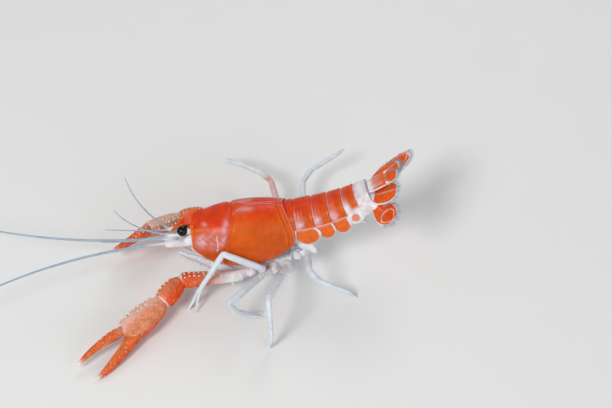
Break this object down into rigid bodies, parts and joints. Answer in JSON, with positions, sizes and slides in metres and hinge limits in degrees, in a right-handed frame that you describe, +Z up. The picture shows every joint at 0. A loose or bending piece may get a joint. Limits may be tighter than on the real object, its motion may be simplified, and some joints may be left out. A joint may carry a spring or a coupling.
{
  "type": "red swamp crayfish model",
  "caption": "Life-size red swamp crayfish (Procambarus clarkii) as a still model, walking with both claws reaching forward.",
  "frame": {"origin": "centre of the bounding box at the level of the feet", "axes": "head towards -X, tail towards +X, the animal's left side towards -Y, +Z up from the floor its feet stand on"},
  "size_m": [0.172, 0.097, 0.0427],
  "materials": {
    "shield_orange": "satin",
    "abdomen_orange": "satin",
    "fan_orange": "satin",
    "claw_salmon": "satin",
    "limb_white": "satin",
    "feeler_grey": "satin",
    "eye_black": "gloss"
  },
  "bodies": {
    "root": {"abdomen_1": "abdomen_orange", "abdomen_2": "abdomen_orange", "abdomen_3": "abdomen_orange", "abdomen_4": "abdomen_orange", "abdomen_5": "abdomen_orange", "abdomen_6": "abdomen_orange", "antenna_base_left": "limb_white", "antenna_base_right": "limb_white", "antenna_left": "feeler_grey", "antenna_right": "feeler_grey", "antennule_left": "limb_white", "antennule_right": "limb_white", "claw_left_arm": "claw_salmon", "claw_left_dactyl": "claw_salmon", "claw_left_palm": "claw_salmon", "claw_left_wrist": "claw_salmon", "claw_right_arm": "claw_salmon", "claw_right_dactyl": "claw_salmon", "claw_right_palm": "claw_salmon", "claw_right_wrist": "claw_salmon", "eye_left": "eye_black", "eye_right": "eye_black", "eyestalk_left": "limb_white", "eyestalk_right": "limb_white", "head_shield": "shield_orange", "leg_left_2_lower": "limb_white", "leg_left_2_upper": "limb_white", "leg_left_3_lower": "limb_white", "leg_left_3_upper": "limb_white", "leg_left_4_lower": "limb_white", "leg_left_4_upper": "limb_white", "leg_left_5_lower": "limb_white", "leg_left_5_upper": "limb_white", "leg_right_2_lower": "limb_white", "leg_right_2_upper": "limb_white", "leg_right_3_lower": "limb_white", "leg_right_3_upper": "limb_white", "leg_right_4_lower": "limb_white", "leg_right_4_upper": "limb_white", "leg_right_5_lower": "limb_white", "leg_right_5_upper": "limb_white", "maxilliped_left": "limb_white", "maxilliped_right": "limb_white", "telson": "fan_orange", "thorax_shield": "shield_orange", "thorax_underside": "limb_white", "uropod_inner_left": "fan_orange", "uropod_inner_right": "fan_orange", "uropod_outer_left": "fan_orange", "uropod_outer_right": "fan_orange"}
  },
  "joints": []
}
